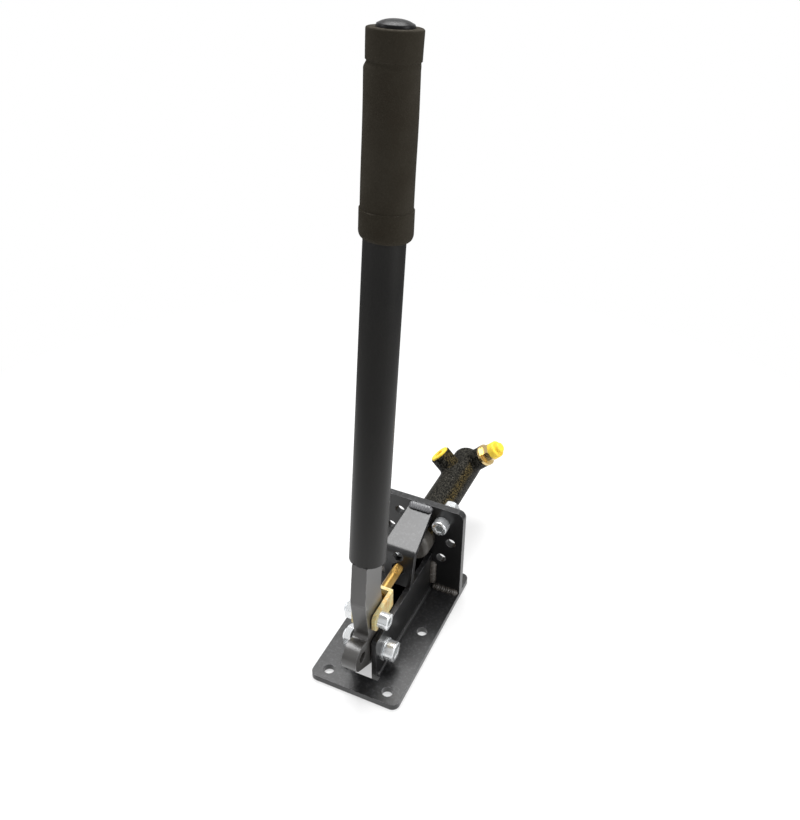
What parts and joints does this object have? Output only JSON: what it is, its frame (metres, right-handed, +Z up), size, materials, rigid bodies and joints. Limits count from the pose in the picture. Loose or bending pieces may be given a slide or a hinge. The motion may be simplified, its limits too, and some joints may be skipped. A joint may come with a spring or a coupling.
{
  "type": "parking brake lever",
  "caption": "Bolt-down upright lever with a foam grip that drives a horizontal hydraulic master cylinder through a clevis and push rod on a flat slotted base.",
  "frame": {"origin": "underside of the base plate, centre of its bolt pattern", "axes": "+X to the side of the bolt heads, +Y from the lever to the cylinder, +Z up"},
  "size_m": [0.074, 0.2446, 0.4784],
  "materials": {
    "black_paint": "satin black paint",
    "bright_zinc": "bright zinc plate",
    "yellow_zinc": "yellow zinc plate",
    "cast_black": "rough casting, satin black",
    "boot_rubber": "matte moulded rubber",
    "foam": "matte foam",
    "cap_plastic": "gloss black",
    "plug_plastic": "yellow moulded plastic",
    "port_brass": "machined",
    "bush_bronze": "machined",
    "piston_alloy": "machined",
    "seal_rubber": "moulded",
    "spring_steel": "plain wire"
  },
  "bodies": {
    "bracket": {"base_plate": "black_paint", "left_wall": "black_paint", "right_wall": "black_paint", "upright_plate": "black_paint", "stop_strap": "black_paint", "weld_beads": "black_paint", "pivot_bolt": "bright_zinc", "pivot_washers": "bright_zinc", "pivot_nut": "bright_zinc", "cylinder_body": "cast_black", "flange_bolts": "bright_zinc", "flange_washers": "bright_zinc", "flange_nuts": "bright_zinc", "dust_boot": "boot_rubber", "circlip": "spring_steel", "return_spring": "spring_steel", "inlet_plug": "plug_plastic", "outlet_washer": "port_brass", "outlet_adapter": "port_brass", "outlet_cap": "plug_plastic"},
    "lever": {"lever_plate": "black_paint", "pivot_bush": "bush_bronze", "lever_tube": "black_paint", "foam_grip": "foam", "end_cap": "cap_plastic"},
    "rod": {"clevis": "yellow_zinc", "clevis_bolt": "bright_zinc", "clevis_nut": "bright_zinc", "push_rod": "yellow_zinc", "stop_nut": "bright_zinc"},
    "piston": {"piston": "piston_alloy", "piston_seals": "seal_rubber"}
  },
  "joints": [
    {"name": "lever_pull", "type": "hinge", "parent": "bracket", "child": "lever", "pos_m": [0, -0.041, 0.0214], "axis": [-1, 0, 0], "range_deg": [0, 20], "stiffness_Nm_per_rad": 3, "springref_deg": -22.92},
    {"name": "clevis_pin", "type": "hinge", "parent": "lever", "child": "rod", "pos_m": [0, -0.04646, 0.0585], "axis": [-1, 0, 0], "range_deg": [-20, 0]},
    {"name": "piston_stroke", "type": "slide", "parent": "bracket", "child": "piston", "axis": [0, 1, 0], "range_m": [0, 0.01302], "deforming": ["return_spring"]}
  ],
  "couplings": [
    {"joint": "clevis_pin", "follows": "lever_pull", "ratio": -1},
    {"joint": "piston_stroke", "follows": "lever_pull", "m_per_rad": 0.037295}
  ]
}
